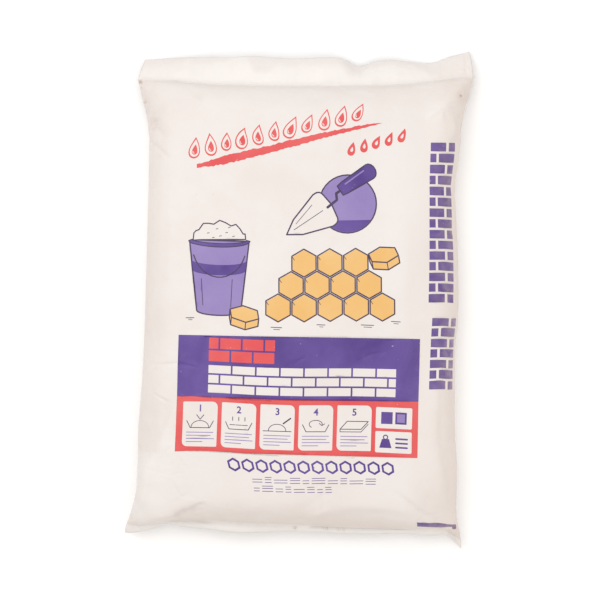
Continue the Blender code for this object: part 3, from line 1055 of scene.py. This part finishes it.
# Places on the upper layer, each as its reach in millimetres, its strength and where it is in the layout
# Dark marks: a few real specks on the bottom weld, the rest painted shadows in the corners, dents and creases
# and along the bottom left fold
smudgesAndShadows = [
    (2.3, 0.65, (-180.6, 247)), (1.2, 0.30, (-179, 240.5)), (1.5, 0.35, (-175, 223.5)),
    (1.8, 0.70, (184.2, 231.2)), (6.5, 0.16, (185, 229)), (8, 0.12, (178, -268)),
    (1.6, 0.75, (-4.8, -260)), (1.4, 0.50, (28.5, -261)), (1.4, 0.50, (32, -261.2)),
    (1.4, 0.50, (45, -262)), (1.4, 0.50, (50.5, -262.2)), (14, 0.05, (-166, -128)),
    (14, 0.05, (-170, -150)), (11, 0.04, (-174, -172)), (5, 0.07, (-167.5, 204)),
    (4.5, 0.06, (-163.5, 194)), (3.5, 0.05, (-157, 163.5)), (4.5, 0.07, (-113, 230.5)),
    (4, 0.09, (-137.5, -246.2)), (4, 0.09, (-130, -241.2)), (4, 0.07, (-121.5, -237.7)),
]
# Painted light: places on the upper layer that take the lighter film colour and lose their painted shade, as
# reach, strength and place
paintedLightPlaces = [(28, 0.9, (-166, -200)), (26, 1, (-165, -228)), (14, 0.7, (-148, -166)),
               (16, 1, (-183, -238)), (13, 0.8, (-177, -254)), (16, 0.6, (160, 216))]
crumples = [(18, 0.9, (-112, -240)), (20, 0.8, (168, 212)), (20, 0.8, (-164, 208)),
            (16, 0.7, (150, -250)), (34, 0.9, (-148, -186)), (26, 0.9, (-135, -222)),
            (26, 0.8, (-80, -244)), (24, 0.7, (-42, -246))]


# From 1 at no distance down to 0
def nearness(distance, reach):
    return np.exp(-(np.maximum(distance, 0) / reach) ** 2)


# A strength of filmState that fades over its reach, or the one that sets in over its stretch
def fading(name, distance):
    strength, reach = filmState[name]
    return strength * nearness(distance, reach)


def settingIn(name, value):
    strength, low, high = filmState[name]
    return strength * smoothStep(value, low, high)


# Where the film is empty, so it looks duller and lighter: the header but for its rim, which is painted shade,
# and the strip
def emptyAndLitFilm(places, toEnd):
    x, along = places.T
    flaps = np.flatnonzero(toEnd < filmState["flapFrom"])

    def uneven(name):
        strength, detail, depth = filmState[name]
        found = np.zeros(len(places))
        found[flaps] = [noise.noise(Vector((u, v, depth))) for u, v in (places[flaps] * detail).tolist()]
        return strength * found

    rim = curveAt(filmState["headerShadedRim"], x * 1000) + uneven("rimUneven") + uneven("rimFine")
    toCut = (halfLength - along) * 1000
    # the rim keeps the darker bare colour, a painted shade of its curled edge
    fromRim = mix(filmState["shadedRimLevel"], 1, smoothStep(toCut - rim, *filmState["rimSoft"]))
    fromRim = np.maximum(fromRim * (1 - settingIn("emptyEnds", np.abs(x))), settingIn("emptyRight", x))
    empty = (1 - smoothStep(toEnd, *filmState["emptyEdge"])) * np.maximum(fromRim, along < 0)
    # lighter blotches over the flaps, a painted sheen
    return empty * (1 + uneven("paintedSheenUneven"))


# How loosely the film lies, how soiled and painted shaded, how smudged and painted shadowed it is, and where
# it is empty and where painted light makes it lighter, for its finish
def addFilmState(mesh, places, points):
    toSide, toTop, toBottom = toEdges(*places.T)
    toEnd = np.minimum(toTop, toBottom)
    seen, upper = seenFromAbove(points), points[:, 2] > swelling["middleHeight"] * 0.4

    def spots(listed):
        return upper * np.maximum.reduce([
            strength * nearness(np.linalg.norm(seen - np.array(place), axis=1), reach)
            for reach, strength, place in listed])

    paintedLight, middle, body = spots(paintedLightPlaces), filmState["middle"], smoothStep(toEnd, *filmState["bodyEdge"])
    loose = [mix(middle, filmState[name][0], nearness(distance, filmState[name][1]))
             for name, distance in (("side", toSide), ("flap", toEnd))]
    ear = fading("ear", toSide) * nearness(toEnd, filmState["ear"][1])
    # Soil together with painted shade: the film darker and browner towards its sides, under the top weld and
    # above the bottom weld
    soilAndShade = np.where(places[:, 0] < 0, fading("soilAndShadeLeft", toSide), fading("soilAndShadeRight", toSide))
    soilAndShade = np.maximum.reduce([soilAndShade * mix(filmState["flapSoilAndShade"], 1, body), fading("soilAndShadeTop", toTop) * body,
                              fading("soilAndShadeBottom", toBottom) * body])
    states = {
        "slack": np.maximum.reduce([*loose, ear, spots(crumples)]),
        # soil with painted shade near the sides and welds
        "soilAndShade": soilAndShade * (1 - filmState["paintedLightShare"] * paintedLight),
        # dark smudges: real specks on the bottom weld, and painted shadows in dents, corners, creases and
        # along a fold
        "smudgeAndShadow": spots(smudgesAndShadows),
        # the lighter empty colour, which also carries the rim's painted shade, the flaps' painted sheen and
        # the painted light places
        "empty": np.maximum(emptyAndLitFilm(places, toEnd), filmState["paintedLightLevel"] * paintedLight),
    }
    for name, values in states.items():
        mesh.attributes.new(name, "FLOAT", "POINT").data.foreach_set("value", values.astype(np.float32))


sack = buildSack()
report(f"sack mesh is built, {len(sack.data.polygons)} faces")


# Heat-seal ribs along both welds, on both faces of the film

ribs = {
    "pitch": 0.0021, "length": 0.0034, "width": 0.0010, "height": 0.00018,
    "besideWeld": 0.0024, "ends": 0.004, "pathPoints": 240, "probe": 0.0005, "lift": 0.2,
}


# Sets a small rib across a path at every pitch, standing on the film
def ribTree():
    tree = bpy.data.node_groups.new("weldRibs", "GeometryNodeTree")
    for name, kind in (("Geometry", "Geometry"), ("pitch", "Float"), ("length", "Float"), ("width", "Float"),
                       ("height", "Float"), ("material", "Material")):
        tree.interface.new_socket(name, in_out="INPUT", socket_type=f"NodeSocket{kind}")
    tree.interface.new_socket("Geometry", in_out="OUTPUT", socket_type="NodeSocketGeometry")
    given = addNode(tree, "NodeGroupInput").outputs

    def made(kind, output, inputs=(), **settings):
        return addNode(tree, kind, inputs, **settings).outputs[output]

    curve = made("GeometryNodeMeshToCurve", "Curve", {"Mesh": given["Geometry"]})
    spaced = made("GeometryNodeResampleCurve", "Curve", {"Curve": curve, "Length": given["pitch"]},
                  mode="LENGTH")
    outward = made("GeometryNodeInputNamedAttribute", "Attribute", {"Name": "outward"},
                   data_type="FLOAT_VECTOR")
    upright = made("FunctionNodeAlignRotationToVector", "Rotation", {"Vector": outward}, axis="Z")
    across = made("FunctionNodeAlignRotationToVector", "Rotation",
                  {"Rotation": upright, "Vector": made("GeometryNodeInputTangent", "Tangent")},
                  axis="X", pivot_axis="Z")
    bead = made("GeometryNodeMeshUVSphere", "Mesh", {"Segments": 8, "Rings": 4, "Radius": 0.5})
    size = made("ShaderNodeCombineXYZ", "Vector",
                {"X": given["width"], "Y": given["length"], "Z": given["height"]})
    shaped = made("GeometryNodeTransform", "Geometry", {"Geometry": bead, "Scale": size})
    geometry = made("GeometryNodeInstanceOnPoints", "Instances",
                    {"Points": spaced, "Instance": shaped, "Rotation": across})
    for kind, more in (("RealizeInstances", {}), ("SetShadeSmooth", {}),
                       ("SetMaterial", {"Material": given["material"]})):
        geometry = made(f"GeometryNode{kind}", "Geometry", {"Geometry": geometry, **more})
    addNode(tree, "NodeGroupOutput", {"Geometry": geometry})
    return tree


# A path over the film beside a weld, with the film's outward direction at each point
def weldPath(side, along):
    half, probe = halfWidth - ribs["ends"], ribs["probe"]
    across = np.linspace(-half, half, ribs["pathPoints"])
    here, beside, further = (filmPoints(side, across + shift[0], np.full_like(across, along + shift[1]))
                             for shift in ((0, 0), (probe, 0), (0, probe)))
    outward = np.cross(beside - here, further - here) * (1 if side == "front" else -1)
    outward /= np.linalg.norm(outward, axis=1)[:, None]
    return here + outward * (film["layer"] + ribs["lift"] * ribs["height"]), outward


def buildRibs(material):
    paths = [weldPath(side, row * grid.spacing - halfLength + beyond * ribs["besideWeld"])
             for side in ("front", "back") for row, beyond in ((grid.topWeld, 1), (grid.bottomWeld, -1))]
    points, outward = (np.concatenate(listed) for listed in zip(*paths))
    edges = [(k, k + 1) for k in range(len(points) - 1) if (k + 1) % ribs["pathPoints"]]
    mesh = meshOf("weldRibs", points.tolist(), [], edges)
    mesh.attributes.new("outward", "FLOAT_VECTOR", "POINT").data.foreach_set("vector", outward.ravel())
    mesh.attributes.new("empty", "FLOAT", "POINT").data.foreach_set("value", np.ones(len(points)))
    line = addObject("weldRibs", mesh)
    nodes = line.modifiers.new("ribs", "NODES")
    nodes.node_group = ribTree()
    for item in nodes.node_group.interface.items_tree:
        if item.name != "Geometry":
            nodes[item.identifier] = {**ribs, "material": material}[item.name]
    made = bpy.data.meshes.new_from_object(evaluated(line))
    line.modifiers.remove(nodes)
    line.data = made
    return line


# Finishes

filmLook = {
    # the soil colour also paints shade, the smudge colour also paints shadows, and the empty film colour also
    # paints light and sheen
    "colour": (0.732, 0.686, 0.660), "shade": (0.702, 0.647, 0.612), "soilAndShade": (0.700, 0.555, 0.455),
    "smudgeAndShadow": (0.300, 0.190, 0.150), "emptyAndLitFilm": (0.780, 0.742, 0.718), "roughness": (0.40, 0.56),
    "specular": 0.38, "crinkleDepth": 0.0015, "grainDepth": 0.00004,
    "facetScale": 34.0, "facetDepth": 0.0005, "facetEdge": 0.14, "facetStir": 0.022,
    "blotchStrength": (0.35, 1.35), "wearEdge": 0.06, "wornShare": 0.8,
    # each noise as its scale, detail and distortion
    "crinkle": (46, 5, 1.1), "grain": (620, 2, 0), "stir": (44.2, 2, 0), "inkWear": (330, 2, 0.5),
    # the same, and the stretch of the noise over which it sets in
    "broad": (13, 4, 0.4, 0.35, 0.75), "blotches": (75, 6, 0.8, 0.30, 0.70), "sheen": (70, 3, 0, 0.3, 0.7),
    # the ink's blotches of lighter colour, partly uneven tone and partly painted sheen
    "inkToneAndSheen": (16, 5, 0.6, 0.35, 0.70),
}
# The lighter ink colour, mixed in by noise, is partly uneven tone and partly painted sheen
inkLooks = {  # colour, lighter colour, wear
    "purpleInk": ((0.070, 0.031, 0.205), (0.128, 0.074, 0.310), 0.80),
    "redInk": ((0.655, 0.066, 0.070), (0.690, 0.105, 0.100), 0.80),
    "orangeInk": ((0.735, 0.425, 0.135), (0.740, 0.470, 0.180), 0.82),
    "lilacInk": ((0.245, 0.178, 0.420), (0.285, 0.215, 0.460), 0.82),
    "darkInk": ((0.042, 0.026, 0.070), (0.060, 0.038, 0.095), 0.84),
}


# Film, bare or under one of the inks: both are soiled and painted shaded, smudged and painted shadowed, and
# crinkled alike
def filmMaterial(name):
    material = bpy.data.materials.new(name)
    material.use_nodes = True
    tree = material.node_tree
    place = addNode(tree, "ShaderNodeTexCoord").outputs["Object"]

    def noiseOf(name, output="Fac"):
        inputs = dict(zip(("Vector", "Scale", "Detail", "Distortion"), (place, *filmLook[name])))
        return addNode(tree, "ShaderNodeTexNoise", inputs).outputs[output]

    def ranged(value, low, high, toLow=0.0, toHigh=1.0):
        inputs = {"Value": value, "From Min": low, "From Max": high, "To Min": toLow, "To Max": toHigh}
        return addNode(tree, "ShaderNodeMapRange", inputs).outputs["Result"]

    def rangedNoise(name, *reached):
        return ranged(noiseOf(name), *filmLook[name][3:], *reached)

    def mixed(factor, first, second):
        inputs = {"Factor": factor, 6: first, 7: second}  # the colour inputs share their names with others
        return addNode(tree, "ShaderNodeMix", inputs, data_type="RGBA").outputs[2]

    def product(first, second):
        return addNode(tree, "ShaderNodeMath", {0: first, 1: second}, operation="MULTIPLY").outputs["Value"]

    def bump(height, depth, **more):
        inputs = {"Height": height, "Distance": depth, **more}
        return addNode(tree, "ShaderNodeBump", inputs).outputs["Normal"]

    slack, soilAndShade, smudgeAndShadow, empty = (addNode(tree, "ShaderNodeAttribute", attribute_name=state).outputs["Fac"]
                                  for state in ("slack", "soilAndShade", "smudgeAndShadow", "empty"))
    bare = mixed(rangedNoise("broad"), filmLook["colour"], filmLook["shade"])
    # the lighter colour of empty film, partly real and partly painted light and sheen
    colour = mixed(empty, bare, filmLook["emptyAndLitFilm"])
    if name in inkLooks:
        ink, lighterToneAndSheen, wear = inkLooks[name]
        worn = ranged(noiseOf("inkWear"), wear - filmLook["wearEdge"], wear, 0, filmLook["wornShare"])
        # ink in blotches of its lighter colour, partly uneven tone and partly painted sheen
        colour = mixed(worn, mixed(rangedNoise("inkToneAndSheen"), ink, lighterToneAndSheen), colour)
    blotches = rangedNoise("blotches", *filmLook["blotchStrength"])
    # soil with painted shade, in blotches, darkens the film towards its sides and welds
    colour = mixed(product(soilAndShade, blotches), colour, filmLook["soilAndShade"])
    stirring = {0: noiseOf("stir", "Color"), 1: (filmLook["facetStir"],) * 3, 2: place}
    stirred = addNode(tree, "ShaderNodeVectorMath", stirring, operation="MULTIPLY_ADD").outputs["Vector"]
    facets = addNode(tree, "ShaderNodeTexVoronoi", {"Vector": stirred, "Scale": filmLook["facetScale"]},
                     feature="DISTANCE_TO_EDGE").outputs["Distance"]
    normal = bump(ranged(facets, 0, filmLook["facetEdge"]), filmLook["facetDepth"],
                  Strength=product(slack, slack))
    normal = bump(noiseOf("crinkle"), filmLook["crinkleDepth"], Strength=slack, Normal=normal)
    setInputs(tree, tree.nodes["Principled BSDF"], {
        # dark smudges, partly real specks and partly painted shadows
        "Base Color": mixed(smudgeAndShadow, colour, filmLook["smudgeAndShadow"]),
        "Roughness": rangedNoise("sheen", *filmLook["roughness"]),
        "Specular IOR Level": filmLook["specular"],
        "Normal": bump(noiseOf("grain"), filmLook["grainDepth"], Normal=normal),
    })
    return material


for name in inks:
    sack.data.materials.append(filmMaterial(name))
weldRibs = buildRibs(sack.data.materials[0])
report(f"weld ribs are set, {len(weldRibs.data.polygons)} faces")

for piece in (sack, weldRibs):
    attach(piece, "root")
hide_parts("filled_sack")
